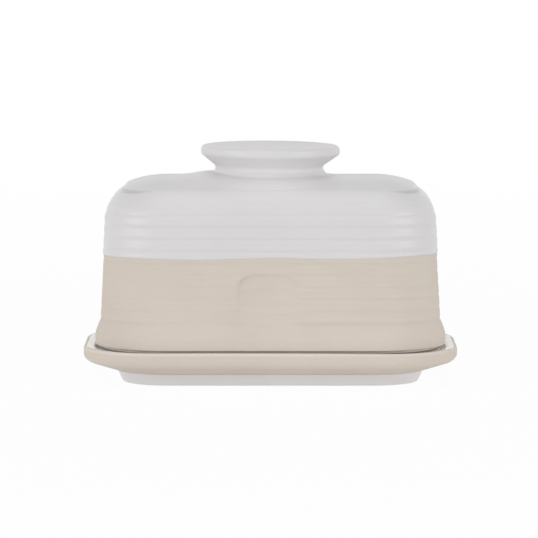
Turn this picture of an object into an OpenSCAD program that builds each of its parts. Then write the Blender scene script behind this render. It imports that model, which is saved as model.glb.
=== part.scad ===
// Covered butter dish in stoneware: a shallow tray on a foot, and a ribbed box cover with a flared knob.
// Millimetres, +Z up, origin on the table under the middle of the foot, +X along the long side.

/* [Tray] */
// Length of the tray over its lip
rim_w = 194; // [188:1:230]
// Width of the tray over its lip
rim_d = 112; // [106:1:140]
// Corner radius of the lip in plan
rim_corner = 36; // [30:0.5:38]
// Height of the lip above the table
rim_h = 19.35; // [18:0.05:26]
// Height of the lip's upright outer face
lip_face = 2.2; // [0.6:0.2:3]
// Radius of the lip's upper edge
lip_round = 1.2; // [0.6:0.1:1.5]
// Radius of the curve from the lip's face to the underside
under_r = 5.4; // [4:0.1:8]
// How far the seat of the cover lies below the lip
seat_drop = 1.7; // [1:0.1:2.5]
// Width of the lip's flat top, from its round edge to the seat
lip_w = 1.4; // [0.8:0.1:2]
// Width of the flat seat
seat_w = 11.5; // [10:0.1:13]
// Height of the floor above the top of the foot
floor_rise = 0.6; // [0.4:0.1:3]
// Run of the sloping wall of the well
well_slope = 9; // [6:0.5:11]

/* [Foot] */
// How far the foot is set in from the lip
foot_inset = 17.2; // [15:0.2:19]
// Corner radius of the foot in plan, at its top
foot_corner = 26; // [16:0.5:28]
// Height of the foot
foot_h = 6; // [4:0.2:9]
// How much the foot draws in towards the table
foot_taper = 2.3; // [0.5:0.1:3]
// Radius of the foot's bare lower edge
foot_round = 1.5; // [0.6:0.1:2]
// Width of the ring that stands on the table
foot_ring = 5.5; // [4:0.5:7]
// Depth of the hollow inside the ring
foot_hollow = 2; // [0.8:0.1:3]

/* [Cover] */
// Length of the cover at its shoulder
cover_w = 171.7; // [150:0.1:176]
// Width of the cover at its shoulder
cover_d = 94; // [86:0.5:97]
// Corner radius of the cover at its shoulder
cover_corner = 31.5; // [28:0.5:33]
// Height of the cover from its standing ring to the middle of the roof
cover_h = 86.9; // [74:0.1:100]
// Thickness of the wall
wall_t = 5.5; // [4:0.25:7]
// Thickness of the roof in its middle
roof_t = 7; // [5:0.25:9]
// How far the wall leans out from its shoulder to its flare
wall_lean = 2.4; // [0.2:0.1:3]
// Radius of the shoulder
shoulder_r = 22.2; // [16:0.1:23]
// Angle that the shoulder turns through before the domed roof begins
shoulder_turn = 56; // [50:1:70]
// Rise of the domed roof from its edge at the shoulder to its middle
roof_rise = 4.2; // [2:0.1:6]
// Height of the upright band at the foot of the cover
band_h = 5; // [3.5:0.5:7]
// Radius of the band's lower edge
band_round = 0.6; // [0.6:0.1:1.5]
// Height of the flare above the band
flare_h = 8.5; // [6:0.5:12]
// How far the flare stands out from the wall
flare_out = 2.8; // [2:0.1:4]
// Height of the open joint under the cover's outer edge
seam_gap = 1.4; // [0.6:0.1:1.6]
// Width of the ring on which the cover stands
stand_w = 5; // [3:0.5:6]
// Clearance of the cover above its seat
seat_gap = 0.2; // [0.1:0.05:0.5]

/* [Ribs] */
// Height of one throwing rib
rib_pitch = 6.2; // [4.5:0.05:8]
// Depth of the groove between two ribs
rib_depth = 0.45; // [0.2:0.05:0.8]

/* [Stamp pad] */
// Diameter of the plain pressed pad on the front
pad_d = 31; // [20:1:34]
// Depth of the pad below the crests of the ribs
pad_depth = 0.9; // [0.6:0.1:1.4]
// Height of the pad's middle above the standing ring
pad_h = 26; // [22:0.5:32]

/* [Knob] */
// Diameter of the knob
knob_d = 72.4; // [68:0.2:84]
// Height of the knob above the roof
knob_h = 17; // [15:0.1:24]
// Diameter of the neck at its waist
neck_d = 56.4; // [48:0.2:58]
// Height of the waist above the roof
waist_h = 5.4; // [5:0.1:9]
// Radius of the waist's curve
waist_r = 2.4; // [1.8:0.1:3]
// How much the neck spreads from its waist to its foot
neck_spread = 1; // [0:0.1:1.5]
// Radius of the curve from the neck to the roof
neck_fillet = 2.4; // [1.5:0.1:2.8]
// Thickness of the flange at its edge
knob_edge = 5.4; // [4:0.2:6]
// Radius of the flange's edges
knob_round = 2; // [1:0.1:2]
// Depth of the dished top
knob_dish = 0.8; // [0.3:0.1:1.5]

/* [Glaze] */
// Thickness of the white glaze
coat = 0.4; // [0.2:0.05:0.6]
// Height of the glaze line on the cover above the standing ring
glaze_h = 48.5; // [40:0.5:60]

/* [Hidden] */
$fn = 96;
clay_colour = [0.82, 0.77, 0.72];
glaze_colour = [0.87, 0.86, 0.86];
rib_step = rib_pitch / 4;
arc_steps = 6;
roof_steps = 3;

// Heights of the tray
seat_z = rim_h - seat_drop;
floor_z = foot_h + floor_rise;
// Offsets of the tray's section, inwards from the outer face of the lip
seat_out = lip_round + lip_w + seat_drop / 2;
seat_in = seat_out + seat_w;
well_in = seat_in + well_slope;
// Outline of the foot's top
foot_w = rim_w - 2 * foot_inset;
foot_d = rim_d - 2 * foot_inset;
// Inner edge of the standing ring, inwards from the foot's top
ring_in = foot_taper + foot_round + foot_ring;

// Heights of the cover
cover_z = seat_z + coat + seat_gap;
band_z = cover_z + seam_gap;
flare_z = band_z + band_h;
wall_z = flare_z + flare_h;
roof_z = cover_z + cover_h;
ceiling_z = roof_z - roof_t;
roof_out = shoulder_r * (1 - cos(shoulder_turn));
roof_run = cover_corner - roof_out;
shoulder_z = roof_z - roof_rise - shoulder_r * sin(shoulder_turn);
wall_l = shoulder_z - wall_z;
pad_z = cover_z + pad_h;
// Lengths along the cover's outer face, from the top of the flare
shoulder_end = wall_l + shoulder_r * shoulder_turn * PI / 180;
glaze_start = rib_step * round((cover_z + glaze_h - wall_z) / rib_step);
// Offsets of the cover's section, outwards from the wall at the shoulder
band_out = wall_lean + flare_out;
stand_in = wall_lean - wall_t;
stand_out = stand_in + stand_w;
inner_r = shoulder_r - wall_t;
// Radius of the knob's foot on the roof
knob_foot_r = neck_d / 2 + neck_spread + neck_fillet;

// Points along an arc about c, from angle a0 to angle a1
function arc(c, r, a0, a1, n = arc_steps) =
    [for (i = [0:n]) let (a = a0 + (a1 - a0) * i / n) c + r * [cos(a), sin(a)]];

function reversed(list) = [for (i = [len(list) - 1:-1:0]) list[i]];

// Direction of the line that touches two circles, the first on its right and the second on its left
function tangent(c0, r0, c1, r1) =
    let (d = c1 - c0) atan2(d.y, d.x) - asin((r0 + r1) / norm(d));

// Outward lean of the cover's wall at height z
function lean(z) = wall_lean * (shoulder_z - z) / wall_l;

// Depth of the ribs at a distance s up the wall and over the shoulder, which ends plain under the roof's edge
function rib(s) = s > shoulder_end - 0.75 * rib_pitch ? 0
    : -rib_depth * pow(1 - sin(180 * ((s / rib_pitch) % 1)), 2);

// Point of the cover's outer face at a distance s above the flare, raised by grow
function face_point(s, grow) =
    let (a = max(s - wall_l, 0) / shoulder_r * 180 / PI, r = shoulder_r + grow + rib(s))
    s < wall_l ? [lean(wall_z + s) + grow + rib(s), wall_z + s]
               : [-shoulder_r + r * cos(a), shoulder_z + r * sin(a)];

// Ribbed face from a distance s0 up to the end of the shoulder
function ribbed_face(s0, grow) =
    [for (i = [round(s0 / rib_step):ceil(shoulder_end / rib_step) - 1]) face_point(i * rib_step, grow)];

// Gently domed edge of the roof, ending level with the middle panel
function roof_edge(grow) =
    [for (i = [0:roof_steps]) let (t = i / roof_steps)
        [roof_run * (1 - t) - cover_corner, roof_z + grow - roof_rise * pow(1 - t, 2)]];

// Flare of the cover, from the upright band up to the first groove
function flare_curve() =
    [for (i = [0:arc_steps - 1]) let (t = i / arc_steps)
        [wall_lean + flare_out * (1 + cos(180 * t)) / 2, flare_z + flare_h * t]];

// Inner face of the tray from the seat to the floor, raised by grow
function well_curve(grow) =
    [[-seat_out, seat_z + grow], [-seat_in, seat_z + grow], [-well_in, floor_z + grow],
     [-rim_corner, floor_z + grow]];

// Round lower edge of the foot, up to the line that rises to the foot's top
function foot_edge() =
    let (c = [-foot_taper - foot_round, foot_round])
    arc(c, foot_round, -90, tangent(c, -foot_round, [0, foot_h], 0) - 90);

// One section carried round a rounded rectangle: its four corners and its four straight sides
module swept(section, w, d, corner) {
    about_corner = [for (p = section) p + [corner, 0]];
    x0 = w / 2 - corner;
    y0 = d / 2 - corner;
    for (x = [0, 1], y = [0, 1])
        mirror([x, 0, 0]) mirror([0, y, 0]) translate([x0, y0, 0])
            rotate_extrude(angle = 90) polygon(about_corner);
    for (x = [0, 1])
        mirror([x, 0, 0]) translate([x0, y0, 0])
            rotate([90, 0, 0]) linear_extrude(2 * y0) polygon(about_corner);
    for (y = [0, 1])
        mirror([0, y, 0]) translate([-x0, y0, 0])
            rotate([90, 0, 90]) linear_extrude(2 * x0) polygon(about_corner);
}

// Flat panel that closes a swept section inside its corner radius
module panel(w, d, corner, z, t) {
    translate([corner - w / 2, corner - d / 2, z]) cube([w - 2 * corner, d - 2 * corner, t]);
}

// Clay of the tray: foot ring, floor, sloping well, seat of the cover and lip
module tray() {
    foot_top = [-foot_inset, foot_h];
    under_c = [-under_r, rim_h - lip_round - lip_face];
    plate = concat(
        [[-rim_corner, foot_h], foot_top],
        arc(under_c, under_r, tangent(foot_top, 0, under_c, under_r) - 90, 0),
        arc([-lip_round, rim_h - lip_round], lip_round, 0, 90),
        [[seat_drop / 2 - seat_out, rim_h]],
        well_curve(0));
    ring = concat(
        [[-foot_corner, foot_h], [-foot_corner, foot_hollow], [-ring_in, foot_hollow], [-ring_in, 0]],
        foot_edge(), [[0, foot_h]]);
    color(clay_colour) {
        swept(plate, rim_w, rim_d, rim_corner);
        panel(rim_w, rim_d, rim_corner, foot_h, floor_rise);
        swept(ring, foot_w, foot_d, foot_corner);
        panel(foot_w, foot_d, foot_corner, foot_hollow, foot_h - foot_hollow);
    }
}

// White glaze on the inside of the tray, from the lip's inner edge to the floor
module tray_glaze() {
    section = concat([[seat_drop / 2 - seat_out, rim_h]], well_curve(0), reversed(well_curve(coat)));
    color(glaze_colour) {
        swept(section, rim_w, rim_d, rim_corner);
        panel(rim_w, rim_d, rim_corner, floor_z, coat);
    }
}

// White glaze round the foot, above its bare lower edge
module foot_glaze() {
    edge = foot_edge();
    low = edge[len(edge) - 1];
    section = [low, low + [coat, 0], [coat, foot_h], [0, foot_h]];
    color(glaze_colour) swept(section, foot_w, foot_d, foot_corner);
}

// Cutter for the pressed pad, square to the leaning front wall
module pad_cutter() {
    translate([0, -cover_d / 2 - lean(pad_z), pad_z])
        rotate([90 - atan(wall_lean / wall_l), 0, 0]) translate([0, 0, -pad_depth])
            cylinder(d = pad_d, h = pad_depth + flare_out);
}

// Clay of the cover: standing ring, band, flare, ribbed wall, shoulder and roof with a level seat for the knob
module cover() {
    section = concat(
        [[stand_in, cover_z], [stand_out, cover_z], [stand_out + seam_gap / 2, band_z]],
        arc([band_out - band_round, band_z + band_round], band_round, -90, 0),
        flare_curve(), ribbed_face(0, 0), roof_edge(0),
        [[-cover_corner, ceiling_z]],
        arc([-shoulder_r, ceiling_z - inner_r], inner_r, 90, 0));
    color(clay_colour) difference() {
        union() {
            swept(section, cover_w, cover_d, cover_corner);
            panel(cover_w, cover_d, cover_corner, ceiling_z, roof_t);
            translate([0, 0, ceiling_z]) cylinder(r = knob_foot_r, h = roof_t);
        }
        pad_cutter();
    }
}

// White glaze over the upper half of the cover, open where the knob stands
module cover_glaze() {
    section = concat(
        ribbed_face(glaze_start, 0), roof_edge(0),
        reversed(roof_edge(coat)), reversed(ribbed_face(glaze_start, coat)));
    color(glaze_colour) difference() {
        union() {
            swept(section, cover_w, cover_d, cover_corner);
            panel(cover_w, cover_d, cover_corner, roof_z, coat);
        }
        translate([0, 0, roof_z - roof_rise]) cylinder(r = knob_foot_r, h = 2 * roof_rise);
    }
}

// Knob thrown by itself and luted on the roof, glazed all over
module knob() {
    top_z = roof_z + knob_h;
    edge_x = knob_d / 2 - knob_round;
    foot_c = [knob_foot_r, roof_z + coat + neck_fillet];
    waist_c = [neck_d / 2 + waist_r, roof_z + waist_h];
    edge_c = [edge_x, top_z - knob_edge + knob_round];
    neck_a = tangent(foot_c, neck_fillet, waist_c, -waist_r);
    flange_a = tangent(waist_c, waist_r, edge_c, knob_round);
    profile = concat(
        [[0, roof_z], [knob_foot_r, roof_z]],
        arc(foot_c, neck_fillet, 270, 90 + neck_a),
        arc(waist_c, waist_r, 90 + neck_a, 90 + flange_a),
        arc(edge_c, knob_round, flange_a - 90, 0),
        arc([edge_x, top_z - knob_round], knob_round, 0, 90),
        [[edge_x - knob_round, top_z - knob_dish / 2], [0, top_z - knob_dish]]);
    color(glaze_colour) rotate_extrude() polygon(profile);
}

tray();
tray_glaze();
foot_glaze();
cover();
cover_glaze();
knob();
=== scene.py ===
import math

import bmesh
import bpy
from mathutils import Matrix, Vector, noise


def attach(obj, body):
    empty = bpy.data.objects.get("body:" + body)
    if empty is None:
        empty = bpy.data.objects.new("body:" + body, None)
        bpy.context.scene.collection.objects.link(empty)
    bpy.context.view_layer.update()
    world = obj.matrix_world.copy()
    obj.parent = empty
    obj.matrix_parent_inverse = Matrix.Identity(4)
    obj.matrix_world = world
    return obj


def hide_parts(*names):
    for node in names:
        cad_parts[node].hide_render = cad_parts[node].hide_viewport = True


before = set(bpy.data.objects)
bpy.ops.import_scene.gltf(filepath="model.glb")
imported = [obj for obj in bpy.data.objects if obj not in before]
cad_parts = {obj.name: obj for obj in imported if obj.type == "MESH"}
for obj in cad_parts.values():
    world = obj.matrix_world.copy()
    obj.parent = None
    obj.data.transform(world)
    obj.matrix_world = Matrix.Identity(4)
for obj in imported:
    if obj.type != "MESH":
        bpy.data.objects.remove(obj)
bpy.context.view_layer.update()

# The tray: one moulded piece of pale stoneware with a foot ring, a flared underside, a rolled lip, a flat
# seat for the cover and a sunken well. Its outside is left as bare fired clay, and the lip sagged a little
# in the kiln. The sizes of the dish are in millimetres.
MM = 0.001
TRAY_HALF, TRAY_CUTS = (97.0, 56.0), (30, 20)
RIM_CORNER, FOOT_CORNER = 36.0, 26.0
RIM_Z, SEAT_Z, FLOOR_Z, FOOT_Z = 19.35, 17.65, 6.6, 6.0
FOOT_INSET, WELL_INSET, SEAT_INSET = 17.2, 23.95, 14.95
RING_OUT, RING_R, RING_TURN = -21.0, 1.5, -26.3
FOOT_SIDE = [(-18.65, 2.96), (-17.65, 5.0)]
UNDER_R, UNDER_Z, UNDER_TURN = 5.4, 15.95, -70.3
LIP_R = 1.2


def arc(out, z, radius, start, stop, steps):
    """Points (outset, height) on an arc of a section, with its angles in degrees."""
    turns = [math.radians(start + (stop - start) * i / steps) for i in range(steps + 1)]
    return [(out + radius * math.cos(a), z + radius * math.sin(a)) for a in turns]


foot = [(-26.7, 2.0), (-26.5, 0.5), (-26.0, 0.0)] + arc(RING_OUT, RING_R, RING_R, -90.0, RING_TURN, 5)
foot += FOOT_SIDE + [(-17.35, 5.7), (-FOOT_INSET, FOOT_Z)]
slope = [(out - FOOT_INSET, FOOT_Z + up) for out, up in ((0.3, 0.2), (1.2, 0.46), (5.0, 1.79), (9.5, 3.4))]
underside = arc(-UNDER_R, UNDER_Z, UNDER_R, UNDER_TURN, 0.0, 10)
lip = arc(-LIP_R, RIM_Z - LIP_R, LIP_R, 0.0, 90.0, 8)
inner_lip = [(-2.0, 19.31), (-3.0, 19.18), (-4.2, 18.95), (-5.4, 18.72), (-6.0, 18.5), (-6.35, 18.1),
             (-6.6, 17.8), (-7.0, SEAT_Z)]
well = [(-SEAT_INSET + 0.6, SEAT_Z), (-SEAT_INSET, 17.4), (-SEAT_INSET - 0.5, 16.85),
        (-WELL_INSET + 1.2, 7.6), (-WELL_INSET, 6.9), (-WELL_INSET - 1.4, FLOOR_Z)]


def parallel(points, corner):
    """Levels of a section whose corners stay parallel: (outset, height, corner radius)."""
    return [(out, z, corner + out) for out, z in points]


def clip(share):
    """Holds a share between 0 and 1."""
    return min(max(share, 0.0), 1.0)


def ease(share):
    """Smooth step from 0 to 1."""
    share = clip(share)
    return share * share * (3 - 2 * share)


RIM_CORNER_FROM = 2.0


def foot_to_rim(out, z):
    """Level under the tray, with a corner that grows from the foot's to the rim's."""
    share = clip((out + FOOT_INSET) / (FOOT_INSET - RIM_CORNER_FROM))
    return (out, z, FOOT_CORNER + (RIM_CORNER - FOOT_CORNER) * share)


def loft(half, levels, corner_steps=16):
    """A rounded rectangle drawn up ring by ring through its levels and closed at both ends."""
    bm = bmesh.new()
    out, z, radius = levels[0]
    bmesh.ops.create_grid(bm, x_segments=1, y_segments=1, size=1)
    bmesh.ops.scale(bm, vec=(half[0] + out, half[1] + out, 1), verts=bm.verts)
    bmesh.ops.translate(bm, vec=(0, 0, z), verts=bm.verts)
    bmesh.ops.bevel(bm, geom=bm.verts[:], offset=radius, offset_type="OFFSET", segments=corner_steps,
                    profile=0.5, affect="VERTICES", material=-1)
    ring = bm.edges[:]
    for new_out, new_z, new_radius in levels[1:]:
        grown = bmesh.ops.extrude_edge_only(bm, edges=ring)["geom"]
        verts = [g for g in grown if isinstance(g, bmesh.types.BMVert)]
        new = set(verts)
        ring = [g for g in grown if isinstance(g, bmesh.types.BMEdge) and new.issuperset(g.verts)]
        grow = new_radius / radius
        for sx, sy in ((-1, -1), (-1, 1), (1, -1), (1, 1)):
            corner = [v for v in verts if v.co.x * sx > 0 and v.co.y * sy > 0]
            old_middle = Vector((sx * (half[0] + out - radius), sy * (half[1] + out - radius), z))
            new_middle = Vector((sx * (half[0] + new_out - new_radius),
                                 sy * (half[1] + new_out - new_radius), new_z))
            bmesh.ops.scale(bm, vec=(grow, grow, 1), space=Matrix.Translation(-old_middle), verts=corner)
            bmesh.ops.translate(bm, vec=new_middle - old_middle, verts=corner)
        out, z, radius = new_out, new_z, new_radius
    bmesh.ops.edgeloop_fill(bm, edges=ring)
    return bm


def cut_runs(bm, long_cuts, short_cuts):
    """Cuts the straight sides of a loft into columns."""
    longs = [e for e in bm.edges if e.verts[0].co.x * e.verts[1].co.x < 0]
    bmesh.ops.subdivide_edges(bm, edges=longs, cuts=long_cuts, use_grid_fill=True)
    shorts = [e for e in bm.edges if e.verts[0].co.y * e.verts[1].co.y < 0 and len(e.link_faces) > 1]
    bmesh.ops.subdivide_edges(bm, edges=shorts, cuts=short_cuts, use_grid_fill=True)


FOOT_SHORTER, SHORTER_Z, SHORTER_RUN = 0.55, FOOT_Z + 0.4, 1.5
LIP_SAG, SAG_TO_RIGHT, SAG_TO_ENDS, SAG_STOP, SAG_RUN = 0.25, 0.0022, 0.00005, 60.0, 1.4


def shorten_foot(bm):
    """Draws the ends of the foot in a little under the tray."""
    for v in bm.verts:
        v.co.x -= math.copysign(FOOT_SHORTER, v.co.x) * ease((SHORTER_Z - v.co.z) / SHORTER_RUN)


def settle_lip(bm):
    """Lets the lip sag a little, more to the ends and most to the right."""
    for v in bm.verts:
        sag = LIP_SAG + SAG_TO_RIGHT * v.co.x + SAG_TO_ENDS * min(abs(v.co.x), SAG_STOP) ** 2
        v.co.z -= sag * ease((v.co.z - SEAT_Z) / SAG_RUN)


class Tone:
    """A value in a material's nodes; sums, differences and products of tones add the nodes for them."""

    def __init__(self, tree, socket):
        self.tree, self.socket = tree, socket

    def node(self, kind, settings, inputs, output=0):
        """Any node by its type, its settings, its sockets' values or links, and the output that is wanted."""
        made = self.tree.nodes.new(kind)
        for name, value in settings.items():
            setattr(made, name, value)
        for name, value in inputs.items():
            if isinstance(value, Tone):
                self.tree.links.new(value.socket, made.inputs[name])
            else:
                made.inputs[name].default_value = value
        return Tone(self.tree, made.outputs[output] if made.outputs else None)

    def math(self, operation, *values):
        return self.node("ShaderNodeMath", {"operation": operation}, dict(enumerate(values)))

    def __add__(self, other):
        return self.math("ADD", self, other)

    def __sub__(self, other):
        return self.math("SUBTRACT", self, other)

    def __rsub__(self, other):
        return self.math("SUBTRACT", other, self)

    def __mul__(self, other):
        return self.math("MULTIPLY", self, other)

    __radd__, __rmul__ = __add__, __mul__

    def __abs__(self):
        return self.math("ABSOLUTE", self)

    def larger(self, other):
        return self.math("MAXIMUM", self, other)

    def axis(self, name):
        return self.node("ShaderNodeSeparateXYZ", {}, {"Vector": self}, name)

    def length(self):
        return self.node("ShaderNodeVectorMath", {"operation": "LENGTH"}, {0: self}, "Value")

    def noise(self, scale, detail=2.0, rough=0.5):
        return self.node("ShaderNodeTexNoise", {},
                         {"Vector": self, "Scale": scale, "Detail": detail, "Roughness": rough})

    def spread(self, low, high):
        """Stretches the part of a tone between low and high over 0 to 1."""
        return self.node("ShaderNodeMapRange", {"clamp": True},
                         {"Value": self, "From Min": low, "From Max": high})

    def spread_mm(self, low, high):
        """The same for a length, with its limits in millimetres."""
        return self.spread(low * MM, high * MM)

    def mix(self, first, second):
        """A colour from first to second by this tone."""
        return self.node("ShaderNodeMix", {"data_type": "RGBA"}, {0: self, 6: first, 7: second}, 2)


def new_finish(name):
    """An empty material and the object's own coordinates in it."""
    finish = bpy.data.materials.new(name)
    finish.use_nodes = True
    finish.node_tree.nodes.clear()
    start = Tone(finish.node_tree, None)
    return finish, start.node("ShaderNodeTexCoord", {}, {}, "Object")


def close_finish(place, colour, rough, relief, depth, sockets):
    """Joins colour, roughness and relief, of a depth in millimetres, in one shader and ends the material."""
    normal = place.node("ShaderNodeBump", {}, {"Height": relief, "Distance": depth * MM, "Strength": 1.0})
    surface = place.node("ShaderNodeBsdfPrincipled", {},
                         {"Base Color": colour, "Roughness": rough, "Normal": normal, **sockets})
    place.node("ShaderNodeOutputMaterial", {}, {"Surface": surface})


def srgb(red, green, blue):
    """A colour given as it looks, 0 to 255, as the shader's own linear colour."""
    def linear(c):
        c = c / 255
        return c / 12.92 if c <= 0.04045 else ((c + 0.055) / 1.055) ** 2.4
    return (linear(red), linear(green), linear(blue), 1.0)


CLAY_DARK, CLAY_PALE = srgb(213, 202, 191), srgb(219, 209, 198)
CLAY_BELOW_GLAZE, CLAY_PAINTED_HIGHLIGHT = srgb(215, 207, 196), srgb(230, 220, 211)
CLAY_ROUGH, CLAY_RELIEF, STREAK_SCALE = 0.78, 0.12, (14.0, 14.0, 700.0)
GLAZE_LINE_Z, BELOW_GLAZE_RUN = 66.85, 7.0
LIP_FACE, LIP_TOP = (17.4, 18.6), (19.4, 19.6)
MOTTLE = (0.35, 0.65)
clay, place = new_finish("bare_clay")
cloud = place.noise(scale=22.0, detail=3.0)
grain = place.noise(scale=900.0, detail=3.0, rough=0.6)
turned = place.node("ShaderNodeMapping", {}, {"Vector": place, "Scale": STREAK_SCALE})
streak = turned.noise(scale=1.0)
height = place.axis("Z")
# The bare clay turns to one even beige over the last 7 mm below the glaze line.
below_glaze_tint = height.spread_mm(GLAZE_LINE_Z - BELOW_GLAZE_RUN, GLAZE_LINE_Z)
# Painted highlight: the clay is made paler along the lip's upper rounding, where the light catches it.
rubbed_and_painted_highlight = height.spread_mm(*LIP_FACE) * (1 - height.spread_mm(*LIP_TOP))
body = (cloud * 0.6 + streak * 0.2 + grain * 0.2).spread(*MOTTLE).mix(CLAY_DARK, CLAY_PALE)
colour = rubbed_and_painted_highlight.mix((below_glaze_tint * below_glaze_tint).mix(body, CLAY_BELOW_GLAZE), CLAY_PAINTED_HIGHLIGHT)
close_finish(place, colour, grain * 0.1 + CLAY_ROUGH, grain * 0.6 + streak * 0.4, CLAY_RELIEF,
             {"Specular IOR Level": 0.3})


def piece(bm, name, finish):
    """Turns a finished bmesh in millimetres into an object in metres with one material."""
    bmesh.ops.recalc_face_normals(bm, faces=bm.faces)
    bmesh.ops.scale(bm, vec=(MM, MM, MM), verts=bm.verts)
    mesh = bpy.data.meshes.new(name)
    bm.to_mesh(mesh)
    bm.free()
    mesh.shade_smooth()
    mesh.materials.append(finish)
    made = bpy.data.objects.new(name, mesh)
    bpy.context.scene.collection.objects.link(made)
    return made


levels = parallel(foot, FOOT_CORNER + FOOT_INSET)
levels += [foot_to_rim(out, z) for out, z in slope + underside[:-1]]
levels += parallel(lip + inner_lip + well, RIM_CORNER)
bm = loft(TRAY_HALF, levels)
cut_runs(bm, *TRAY_CUTS)
shorten_foot(bm)
settle_lip(bm)
tray = piece(bm, "tray_clay", clay)
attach(tray, "dish")
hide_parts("tray")

# The glaze inside the tray: a thin satin white coat, poured in over the floor, the well and the seat.
# It thins out to nothing on top of the lip, and was wiped further in round the corners.
COAT = 0.4
EDGE_COATS = [0.0, 0.1, 0.2, 0.3, 0.3, 0.3, 0.3, 0.34]
WIPED_IN, WIPED_DOWN, WIPED_Y, WIPED_RUN, WIPED_Z = 1.3, 0.18, 26.0, 14.0, RIM_Z - 0.3
# The glaze inside the tray is a paler and glossier copy of the white glaze on the cover and foot.
INNER_SHADE, INNER_PALE, INNER_ROUGH = srgb(238, 236, 234), srgb(243, 241, 239), 0.1
GLAZE_RELIEF, GLAZE_IOR = 0.06, 1.5
PAINTED_FILL_WHITE, PAINTED_FILL_TINT, PAINTED_FILL_R = srgb(240, 238, 238), 0.4, (34.0, 47.0)
PAINTED_FILL_FROM_Z, PAINTED_FILL_TO_Z = (95.0, 101.0), (112.0, 117.0)
PAINTED_CREASE_GREY, PAINTED_CREASE_TINT, PAINTED_CREASE_WIDTH = srgb(150, 148, 150), 0.4, (0.25, 1.3)
PAINTED_CREASE_R, PAINTED_CREASE_MIDDLE, PAINTED_CREASE_X, PAINTED_CREASE_Z = 22.3, (54.35, 15.5), (60.0, 70.0), (96.0, 97.0)


def glaze_finish(name, shade, pale, rough):
    """Satin white glaze, cloudy and faintly pebbled, with painted light: paler round the knob's foot, lifting
    the shade under its flange, and a painted grey shade in the crease at the roof's corners."""
    finish, place = new_finish(name)
    cloud = place.noise(scale=16.0, detail=3.0)
    peel = place.noise(scale=260.0)
    fine = place.noise(scale=1400.0)
    height = place.axis("Z")
    flat = place.node("ShaderNodeVectorMath", {"operation": "MULTIPLY"}, {0: place, 1: (1.0, 1.0, 0.0)})
    # Painted light: the glaze is made paler round the knob's foot, to lift the shade that falls under its
    # flange.
    near_knob = 1 - flat.length().spread_mm(*PAINTED_FILL_R)
    painted_fill = near_knob * height.spread_mm(*PAINTED_FILL_FROM_Z) * (1 - height.spread_mm(*PAINTED_FILL_TO_Z))
    # Painted shade: a grey line along the crease round the roof's corners.
    across, along = abs(place.axis("X")), abs(place.axis("Y"))
    past_x, past_y = [(side - middle * MM).larger(0.0)
                      for side, middle in zip((across, along), PAINTED_CREASE_MIDDLE)]
    past = past_x * past_x + past_y * past_y
    off_crease = abs(past.math("SQRT", past) - PAINTED_CREASE_R * MM)
    painted_crease_shade = (1 - off_crease.spread_mm(*PAINTED_CREASE_WIDTH)) * across.spread_mm(*PAINTED_CREASE_X)
    painted_crease_shade = painted_crease_shade * height.spread_mm(*PAINTED_CREASE_Z)
    colour = (cloud * 0.7 + fine * 0.3).spread(*MOTTLE).mix(shade, pale)
    colour = (painted_fill * PAINTED_FILL_TINT).mix(colour, PAINTED_FILL_WHITE)
    colour = (painted_crease_shade * PAINTED_CREASE_TINT).mix(colour, PAINTED_CREASE_GREY)
    close_finish(place, colour, cloud * 0.1 + peel * 0.08 + rough, peel * 0.8 + fine * 0.2, GLAZE_RELIEF,
                 {"IOR": GLAZE_IOR})
    return finish


def coated(points, coats):
    """A section raised square to its own run by the coat at each point."""
    raised = []
    for i, (out, z) in enumerate(points):
        before, after = Vector(points[max(i - 1, 0)]), Vector(points[min(i + 1, len(points) - 1)])
        run = (after - before).normalized()
        raised.append((out + run.y * coats[i], z - run.x * coats[i]))
    return raised


def corner_reach(point, half, corner):
    """Way in plan from a rounded rectangle's corner middle, or from its inner straights, out to a point."""
    way = [math.copysign(max(abs(c) - h + corner, 0.0), c) for c, h in zip(point.xy, half)]
    return Vector((*way, 0.0))


bed = [(-1.5, 19.34)] + inner_lip + well
top = coated(bed, EDGE_COATS + [COAT] * (len(bed) - len(EDGE_COATS)))
bm = loft(TRAY_HALF, parallel(list(reversed(bed)) + top[1:], RIM_CORNER))
cut_runs(bm, *TRAY_CUTS)
for v in bm.verts:
    if v.co.z > WIPED_Z:
        wiped = WIPED_IN * ease((abs(v.co.y) - WIPED_Y) / WIPED_RUN)
        v.co -= corner_reach(v.co, TRAY_HALF, RIM_CORNER).normalized() * wiped
        v.co.z -= WIPED_DOWN * wiped
settle_lip(bm)
inner_glaze = glaze_finish("tray_glaze_paler_glossier", INNER_SHADE, INNER_PALE, INNER_ROUGH)
tray_glaze = piece(bm, "tray_inner_glaze", inner_glaze)
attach(tray_glaze, "dish")
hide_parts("tray_glaze")

# The glaze round the foot: a white coat like the cover's, dipped up to the turn of the underside.
# Only the ring that stands on the table is wiped bare.
SEAM = 0.001
FOOT_COAT = 0.36
GLAZE_SHADE, GLAZE_PALE, GLAZE_ROUGH = srgb(219, 217, 218), srgb(225, 223, 223), 0.3
glaze = glaze_finish("white_glaze", GLAZE_SHADE, GLAZE_PALE, GLAZE_ROUGH)
coat_back = arc(RING_OUT, RING_R, RING_R, -58.0, RING_TURN, 4) + FOOT_SIDE + [(-17.1, 6.05)]
coat_face = [(-16.7, 6.25), (-16.9, 5.9), (-17.27, 5.0), (-18.25, 3.0)]
coat_face += arc(RING_OUT, RING_R, RING_R + FOOT_COAT, RING_TURN, -45.0, 4)
band = coat_back + coat_face + coat_back[:1]
bm = loft(TRAY_HALF, parallel(band, FOOT_CORNER + FOOT_INSET))
end_caps = [f for f in bm.faces if len(f.verts) > 4]
bmesh.ops.delete(bm, geom=end_caps, context="FACES_ONLY")
bmesh.ops.remove_doubles(bm, verts=bm.verts, dist=SEAM)
cut_runs(bm, *TRAY_CUTS)
shorten_foot(bm)
foot_glaze = piece(bm, "foot_outer_glaze", glaze)
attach(foot_glaze, "dish")
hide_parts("foot_glaze")

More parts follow.
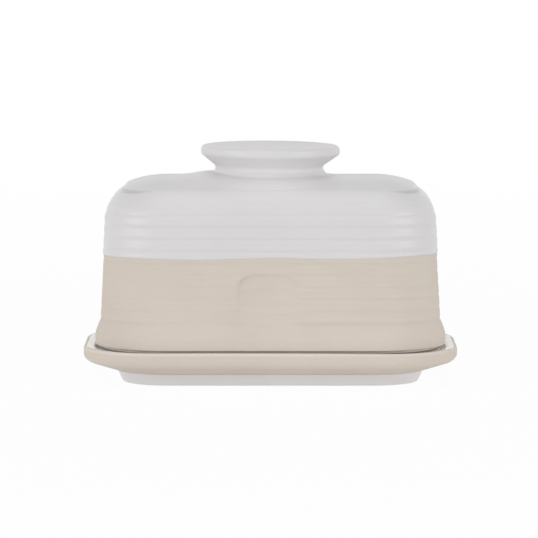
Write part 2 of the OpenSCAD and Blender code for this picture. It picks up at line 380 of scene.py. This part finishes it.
# The cover: one moulded box of the same clay, with turned ribs in its wall, a rounded shoulder and a low
# domed roof. Its standing ring leaves an open joint under the outer edge, and a plain pad is pressed in
# its front. The ribs are partly smoothed out in the bare clay and round the ends.
COVER_HALF, COVER_CORNER, COVER_CUTS = (85.85, 47.0), 31.5, (130, 24)
COVER_Z, BAND_Z, FLARE_Z, WALL_Z, CEILING_Z, ROOF_Z = 18.25, 19.95, 24.65, 33.15, 98.15, 105.15
BAND_OUT, BAND_R, FLARE_STEPS, WALL_LEAN, INSIDE_R = 5.2, 0.5, 12, 2.4, 16.7
SHOULDER_R, SHOULDER_TURN, ROOF_RISE = 22.2, math.radians(56.0), 4.2
ROOF_RUN = COVER_CORNER - SHOULDER_R * (1 - math.cos(SHOULDER_TURN))
ROOF_EDGE_Z = ROOF_Z - ROOF_RISE
SHOULDER_Z = ROOF_EDGE_Z - SHOULDER_R * math.sin(SHOULDER_TURN)
WALL_L = SHOULDER_Z - WALL_Z
FACE_L = WALL_L + SHOULDER_R * SHOULDER_TURN
FACE_STEP, FACE_END, LAST_STEPS = 0.5, 1.6, (1.2, 0.9, 0.6, 0.3, 0.0)
ROOF_STEPS, FIRST_SHARES, FLAT_CORNER = 8, [0.02, 0.04, 0.06, 0.09], 0.5
RIB_PITCH, RIB_DEPTH, RIB_SHARPNESS, RIB_STOP, RIB_FADE = 6.2, 0.58, 2.5, 4.0, 12.0


def rib(s):
    """Depth of the turned grooves at a distance s above the flare; they fade out over the shoulder."""
    fade = clip((FACE_L - RIB_STOP - s) / RIB_FADE)
    return -RIB_DEPTH * fade * (1 - abs(math.sin(math.pi * s / RIB_PITCH))) ** RIB_SHARPNESS


def face_point(s, raised):
    """Point of the ribbed face at a distance s above the flare."""
    grow = raised + rib(s)
    if s < WALL_L:
        return (WALL_LEAN * (1 - s / WALL_L) + grow, WALL_Z + s)
    turn = (s - WALL_L) / SHOULDER_R
    radius = SHOULDER_R + grow
    return (-SHOULDER_R + radius * math.cos(turn), SHOULDER_Z + radius * math.sin(turn))


def roof_points(raised):
    """Low dome from the crease at the shoulder in to the flat middle of the roof."""
    shares = FIRST_SHARES + [i / ROOF_STEPS for i in range(1, ROOF_STEPS + 1)]
    return [(ROOF_RUN * (1 - t) - COVER_CORNER + FLAT_CORNER * t,
             ROOF_Z + raised - ROOF_RISE * (1 - t) ** 2) for t in shares]


inside = [(-26.0, CEILING_Z), (-23.0, CEILING_Z)]
inside += arc(-SHOULDER_R, CEILING_Z - INSIDE_R, INSIDE_R, 90.0, 0.0, 12)
inside += [(-4.35, 50.0), (-3.25, 20.5), (-3.15, 18.9), (-2.7, COVER_Z)]
below = [(1.5, COVER_Z), (1.85, 18.4), (2.1, 18.85), (2.5, BAND_Z)]
below += arc(BAND_OUT - BAND_R, BAND_Z + BAND_R, BAND_R, -90.0, 0.0, 6)
flare = [(WALL_LEAN + (BAND_OUT - WALL_LEAN) * (1 + math.cos(math.pi * t / FLARE_STEPS)) / 2,
          FLARE_Z + (WALL_Z - FLARE_Z) * t / FLARE_STEPS) for t in range(FLARE_STEPS)]
face_steps = [i * FACE_STEP for i in range(int((FACE_L - FACE_END) / FACE_STEP) + 1)]
face_steps += [FACE_L - back for back in LAST_STEPS]
shell = inside + below + flare + [face_point(s, 0.0) for s in face_steps] + roof_points(0.0)


def roof_reach(point):
    """Way in plan from the cover's corner middle, or from the flat of its roof, out to a point."""
    return corner_reach(point, COVER_HALF, COVER_CORNER)


def straight_out(point):
    """Direction square to the cover's wall in plan."""
    return roof_reach(point).normalized()


SLOW_WANDER, SLOW_SCALE, QUICK_WANDER, QUICK_SCALE = 0.22, 0.02, 0.1, 0.06
RUB, RUB_TO_LEFT, RUB_PATCHES, RUB_SCALE, RUB_MOST, RUB_RUN = 0.4, 0.004, 1.2, 0.03, 0.85, 6.0
RUB_PLACE = Vector((9.0, 0.0, 0.0))
END_WEAR, END_FROM, END_RUN = 0.4, 0.5, 0.4


def uneven(point):
    """Slow hand-made wander of the fired wall. Its grooves are partly smoothed out in the bare clay and worn
    round the ends."""
    wander = SLOW_WANDER * noise.noise(point * SLOW_SCALE) + QUICK_WANDER * noise.noise(point * QUICK_SCALE)
    if not WALL_Z < point.z < ROOF_EDGE_Z:
        return wander
    patches = RUB_PATCHES * noise.noise(point * RUB_SCALE + RUB_PLACE)
    rubbed_and_painted_highlight = min(max(RUB - RUB_TO_LEFT * point.x - patches, 0.0), RUB_MOST)
    rubbed_and_painted_highlight *= ease((GLAZE_LINE_Z - point.z) / RUB_RUN)
    worn = END_WEAR * ease((abs(straight_out(point).x) - END_FROM) / END_RUN)
    turn = math.asin(clip((point.z - SHOULDER_Z) / SHOULDER_R))
    s = min(point.z - WALL_Z, WALL_L) + SHOULDER_R * turn
    return wander - rib(s) * max(rubbed_and_painted_highlight, worn)


CREASE_WIDTH, CREASE_DEPTH, CREASE_AT_CORNER, CREASE_OUT, CREASE_BELOW = 0.65, 0.03, 0.25, 1.2, 12.0
STEP_DEPTH, STEP_OUTSIDE, STEP_INSIDE, STEP_X, STEP_RUN = 1.3, 5.0, 1.6, 58.0, 16.0


def crease(point):
    """Depth of the line scored round the roof's edge, which becomes a low step at the corners."""
    if point.z < ROOF_EDGE_Z - CREASE_BELOW:
        return 0.0
    corner = ease((abs(point.x) - STEP_X) / STEP_RUN)
    beyond = roof_reach(point).length - ROOF_RUN - CREASE_OUT * corner
    line = math.exp(-(beyond / CREASE_WIDTH) ** 2)
    step = math.exp(-(beyond / (STEP_OUTSIDE if beyond > 0 else STEP_INSIDE)) ** 2)
    return (CREASE_DEPTH + CREASE_AT_CORNER * corner) * line + STEP_DEPTH * corner * step


PAD_MIDDLE, PAD_HALF, PAD_CORNER = (-0.7, 44.5), (16.2, 14.4), 8.0
PAD_DEPTH, PAD_LEAST, PAD_TILT_X, PAD_TILT_Z = 0.62, 0.1, 0.014, 0.036
PAD_EDGE, PAD_FAINT_EDGE = 0.9, 2.6
FAINT_RIGHT, FAINT_RIGHT_RUN, FAINT_BELOW, FAINT_BELOW_RUN = 5.0, 9.0, 2.0, 8.0


def pad_share(x, z):
    """How far a point of the front lies in the pressed pad: 0 outside, 1 on its floor. The edge is crisp at
    the top left and faint to the right and below."""
    beyond = [max(abs(c - m) - h + PAD_CORNER, 0.0) for c, m, h in zip((x, z), PAD_MIDDLE, PAD_HALF)]
    inward = PAD_CORNER - math.hypot(*beyond)
    faint = max(ease((x - PAD_MIDDLE[0] - FAINT_RIGHT) / FAINT_RIGHT_RUN),
                ease((PAD_MIDDLE[1] + FAINT_BELOW - z) / FAINT_BELOW_RUN))
    return ease(inward / (PAD_EDGE + PAD_FAINT_EDGE * faint))


def pad_floor(x, z):
    """Where the slightly tilted floor of the pad lies behind the leaning front wall."""
    tilt = PAD_TILT_Z * (z - PAD_MIDDLE[1]) - PAD_TILT_X * (x - PAD_MIDDLE[0])
    wall = -COVER_HALF[1] - WALL_LEAN * (1 - (z - WALL_Z) / WALL_L)
    return wall + max(PAD_DEPTH + tilt, PAD_LEAST)


FRONT_Y, FRONT_Z = -COVER_HALF[1] + 2.0, WALL_Z - 5.0
UNEVEN_FROM_Z, UNEVEN_TO_Z = 22.0, ROOF_Z - 0.5
bm = loft(COVER_HALF, parallel(shell, COVER_CORNER))
cut_runs(bm, *COVER_CUTS)
for v in bm.verts:
    if v.co.y < FRONT_Y and FRONT_Z < v.co.z < SHOULDER_Z:
        v.co.y += (pad_floor(v.co.x, v.co.z) - v.co.y) * pad_share(v.co.x, v.co.z)
    v.co.z -= crease(v.co)
    if UNEVEN_FROM_Z < v.co.z < UNEVEN_TO_Z:
        v.co += straight_out(v.co) * uneven(v.co)
cover = piece(bm, "cover_clay", clay)
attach(cover, "lid")
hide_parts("cover")

# The glaze on the cover: the box was dipped upside down to half its height, so the coat ends in a
# slightly wavy line with a thick bead along it.
GLAZE_S, GLAZE_BITE, GLAZE_BACK = GLAZE_LINE_Z - WALL_Z, -0.02, 0.3
BEAD = [(0.0, 0.0), (0.12, 0.2), (0.4, 0.4), (0.8, 0.52), (1.3, 0.55), (2.0, 0.5), (3.0, 0.43)]
BEAD_REACH, WAVE_REACH, WAVE_SLOPE = 3.3, 9.0, 0.006
FRONT_WAVE, FRONT_TURN, END_WAVE, END_TURN = 0.35, 0.09, 0.25, 0.08
upper_steps = [s for s in face_steps if s > GLAZE_S + BEAD_REACH]
under_coat = [face_point(s, GLAZE_BITE) for s in [GLAZE_S + GLAZE_BACK] + upper_steps] + roof_points(GLAZE_BITE)
over_coat = [face_point(GLAZE_S + s, raised) for s, raised in BEAD]
over_coat += [face_point(s, COAT) for s in upper_steps] + roof_points(COAT)
bm = loft(COVER_HALF, parallel(list(reversed(under_coat)) + over_coat, COVER_CORNER))
cut_runs(bm, *COVER_CUTS)
for v in bm.verts:
    s = v.co.z - WALL_Z
    if s < GLAZE_S + WAVE_REACH:
        wave = WAVE_SLOPE * v.co.x + FRONT_WAVE * math.cos(FRONT_TURN * v.co.x)
        wave += END_WAVE * math.sin(END_TURN * (v.co.y + COVER_HALF[1]))
        wave *= (1 - max(s - GLAZE_S, 0.0) / WAVE_REACH) ** 2
        v.co += straight_out(v.co) * (face_point(s + wave, 0.0)[0] - face_point(s, 0.0)[0])
        v.co.z += wave
    v.co.z -= crease(v.co)
    if v.co.z < UNEVEN_TO_Z:
        v.co += straight_out(v.co) * uneven(v.co)
cover_glaze = piece(bm, "cover_glaze_coat", glaze)
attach(cover_glaze, "lid")
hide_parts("cover_glaze")

# The knob: thrown on the wheel by itself, flared to a wide flange with a shallow dished top, luted on the
# roof with slip and glazed all over. It stands a little askew, and the slip is heaped up on its left.
KNOB_STEPS = 128
FLANGE_R, FLANGE_EDGE, FLANGE_Z, FLANGE_UNDER_Z = 34.2, 2.0, 119.9, 118.5
WAIST_R, WAIST_Z, NECK_R, NECK_Z, NECK_CURVE = 30.6, 110.35, 31.6, 108.36, 2.4
KNOB_FOOT_R, KNOB_FOOT_Z, KNOB_SINK, KNOB_CORE = 31.27, 105.98, 0.6, 25.0
SKIRT, SKIRT_STEPS, SKIRT_BELOW = 10.0, 14, 0.01
profile = [(0.0, 121.1), (20.0, 121.15), (29.5, 121.35), (32.2, 121.65)]
profile += arc(FLANGE_R, FLANGE_Z, FLANGE_EDGE, 90.0, 0.0, 8)
profile += arc(FLANGE_R, FLANGE_UNDER_Z, FLANGE_EDGE, 0.0, -53.0, 6)
profile += arc(WAIST_R, WAIST_Z, NECK_CURVE, 127.0, 200.0, 9)
profile += arc(NECK_R, NECK_Z, NECK_CURVE, 202.0, 262.0, 8)
profile += [(KNOB_FOOT_R + SKIRT * i / SKIRT_STEPS, KNOB_FOOT_Z - SKIRT_BELOW)
            for i in range(1, SKIRT_STEPS + 1)]
profile += [(KNOB_FOOT_R + SKIRT, ROOF_Z - KNOB_SINK), (0.0, ROOF_Z - KNOB_SINK)]
bm = bmesh.new()
chain = [bm.verts.new((r, 0.0, z)) for r, z in profile]
for a, b in zip(chain, chain[1:]):
    bm.edges.new((a, b))
bmesh.ops.spin(bm, geom=bm.verts[:] + bm.edges[:], cent=(0, 0, 0), axis=(0, 0, 1), angle=2 * math.pi,
               steps=KNOB_STEPS, use_merge=True)
bmesh.ops.remove_doubles(bm, verts=bm.verts, dist=SEAM)


def dome(point):
    """Height of the glazed roof under a point."""
    return ROOF_Z + COAT - ROOF_RISE * min(roof_reach(point).length / ROOF_RUN, 1.0) ** 2


HEAP, HEAP_LEFT, FOOT_LEFT = 0.35, 1.85, 1.2
REACH, REACH_LEFT, REACH_FRONT, SKIRT_THIN = 39.0, 15.0, 36.9, 0.06
SCORE, SCORE_FROM, SCORE_RUN, SCORE_AT, SCORE_WIDTH = 0.6, 0.55, 0.2, 0.13, 0.08
SCORE_FRONT, SCORE_FADE = 0.5, 3.0
NECK_ASIDE, ASIDE_TO_Z, ASIDE_TO_RUN, ASIDE_FROM_Z, ASIDE_FROM_RUN = 0.6, 118.0, 6.0, 106.0, 2.0
KNOB_TILT, TILT_Z, TILT_RUN = 0.007, 107.0, 3.0


def scored(across, along, u):
    """Depth of the short line scored in the slip on the front right."""
    place = ease((across - SCORE_FROM) / SCORE_RUN) * ease(SCORE_FRONT - SCORE_FADE * along)
    return SCORE * place * math.exp(-((u - SCORE_AT) / SCORE_WIDTH) ** 2)


for v in bm.verts:
    r = v.co.xy.length
    if r < SEAM:
        continue
    across, along = v.co.x / r, v.co.y / r
    left = max(-across, 0.0)
    heap = HEAP + HEAP_LEFT * left ** 2
    foot_r = KNOB_FOOT_R - FOOT_LEFT * left ** 2
    if r > KNOB_FOOT_R and v.co.z < KNOB_FOOT_Z - SKIRT_BELOW / 2:
        reach = min(REACH + REACH_LEFT * left, REACH_FRONT / max(abs(along), SEAM))
        u = (r - KNOB_FOOT_R) / SKIRT
        sunk = KNOB_SINK if v.co.z < ROOF_Z else 0.0
        v.co.xy *= (foot_r + (reach - foot_r) * u) / r
        soft = (1 + math.cos(math.pi * u)) / 2
        rise = KNOB_FOOT_Z + heap - dome(Vector((across * foot_r, along * foot_r, 0.0)))
        rise *= soft + (1 - u - soft) * along * along
        v.co.z = dome(v.co) + rise - scored(across, along, u) - SKIRT_THIN * u - sunk
    elif v.co.z < WAIST_Z and r > KNOB_CORE:
        down = (WAIST_Z - v.co.z) / (WAIST_Z - KNOB_FOOT_Z)
        v.co.xy *= 1 + (foot_r - KNOB_FOOT_R) * down / r
        v.co.z += heap * down
    if v.co.z > ROOF_Z + COAT:
        if r > KNOB_CORE:
            aside = ease((ASIDE_TO_Z - v.co.z) / ASIDE_TO_RUN) * ease((v.co.z - ASIDE_FROM_Z) / ASIDE_FROM_RUN)
            v.co.x -= NECK_ASIDE * aside
        v.co.z -= KNOB_TILT * v.co.x * ease((v.co.z - TILT_Z) / TILT_RUN)
knob = piece(bm, "knob_glazed", glaze)
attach(knob, "lid")
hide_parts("knob")

# The studio: a sheet of white paper under the dish that glows a little, as on a light table, in a pale
# surround. Soft boxes stand on the left, on the right, above and behind. Sizes from here on are in metres.
WHITE, PAPER = (1.0, 1.0, 1.0, 1.0), (0.95, 0.95, 0.95, 1.0)
TABLE_HALF, TABLE_Z = 4.0, -0.0002
PAPER_GLOW, PAPER_SHOWN, PAPER_SHOWN_FAR, PAPER_FAR = 0.31, 0.645, 0.045, (0.3, 1.6)
SURROUND = 0.4
AIM = Vector((0.0, 0.0, 0.05))


def shown_rays(start):
    """1 for the rays that show the background: to the camera, in a mirror or through glass."""
    seen, mirrored, through = [start.node("ShaderNodeLightPath", {}, {}, f"Is {kind} Ray")
                               for kind in ("Camera", "Glossy", "Transmission")]
    return seen.larger(mirrored).larger(through)


bm = bmesh.new()
bmesh.ops.create_grid(bm, x_segments=1, y_segments=1, size=TABLE_HALF)
bmesh.ops.translate(bm, vec=(0, 0, TABLE_Z), verts=bm.verts)
floor_mesh = bpy.data.meshes.new("floor")
bm.to_mesh(floor_mesh)
bm.free()
floor = bpy.data.objects.new("floor", floor_mesh)
bpy.context.scene.collection.objects.link(floor)
paper, place = new_finish("white_paper")
matt = place.node("ShaderNodeBsdfDiffuse", {}, {"Color": PAPER})
glow = place.node("ShaderNodeEmission", {}, {"Color": WHITE, "Strength": 1.0})
far = place.length().spread(*PAPER_FAR)
bright = shown_rays(place) * (far * PAPER_SHOWN_FAR + PAPER_SHOWN) + PAPER_GLOW
blend = place.node("ShaderNodeMixShader", {}, {0: bright, 1: matt, 2: glow})
place.node("ShaderNodeOutputMaterial", {}, {"Surface": blend})
floor_mesh.materials.append(paper)

world = bpy.data.worlds.new("studio")
bpy.context.scene.world = world
world.use_nodes = True
world.node_tree.nodes.clear()
air = Tone(world.node_tree, None)
light = air.node("ShaderNodeBackground", {}, {"Color": WHITE, "Strength": SURROUND})
backdrop = air.node("ShaderNodeBackground", {}, {"Color": WHITE, "Strength": 1.0})
sky = air.node("ShaderNodeMixShader", {}, {0: shown_rays(air), 1: light, 2: backdrop})
air.node("ShaderNodeOutputWorld", {}, {"Surface": sky})


def soft_box(name, stand, wide, high, power):
    """A soft box that faces the dish."""
    lamp = bpy.data.lights.new(name, "AREA")
    lamp.shape = "RECTANGLE"
    lamp.size, lamp.size_y = wide, high
    lamp.energy = power
    made = bpy.data.objects.new(name, lamp)
    made.location = stand
    made.rotation_euler = (AIM - Vector(stand)).to_track_quat("-Z", "Y").to_euler()
    bpy.context.scene.collection.objects.link(made)
    return made


soft_box("left_box", (-1.9, -1.3, 0.46), wide=1.6, high=0.8, power=15.8)
soft_box("right_box", (1.9, -1.3, 0.46), wide=1.6, high=0.8, power=14.4)
soft_box("top_box", (0.0, -0.6, 2.2), wide=1.8, high=1.8, power=11.3)
back_box = soft_box("back_box", (0.0, 2.2, 0.45), wide=1.8, high=0.8, power=8.0)
back_box.visible_glossy = False

# The camera: a long lens two metres in front of the dish and square to its long side, a little above it
# and tipped down to it. The focal length is given in pixels of the 538 pixel frame.
FRAME_PX, FOCAL_PX, SENSOR_MM = 538, 3839.5, 36.0
CAMERA_STAND, CAMERA_DIP = (-0.00074, -2.0, 0.263153), 5.888
lens = bpy.data.cameras.new("camera")
lens.sensor_width = SENSOR_MM
lens.lens = FOCAL_PX / FRAME_PX * SENSOR_MM
lens.clip_start, lens.clip_end = 0.05, 50.0
camera = bpy.data.objects.new("camera", lens)
camera.location = CAMERA_STAND
camera.rotation_euler = (math.radians(90.0 - CAMERA_DIP), 0.0, 0.0)
bpy.context.scene.collection.objects.link(camera)
bpy.context.scene.camera = camera
bpy.context.scene.view_settings.view_transform = "Standard"
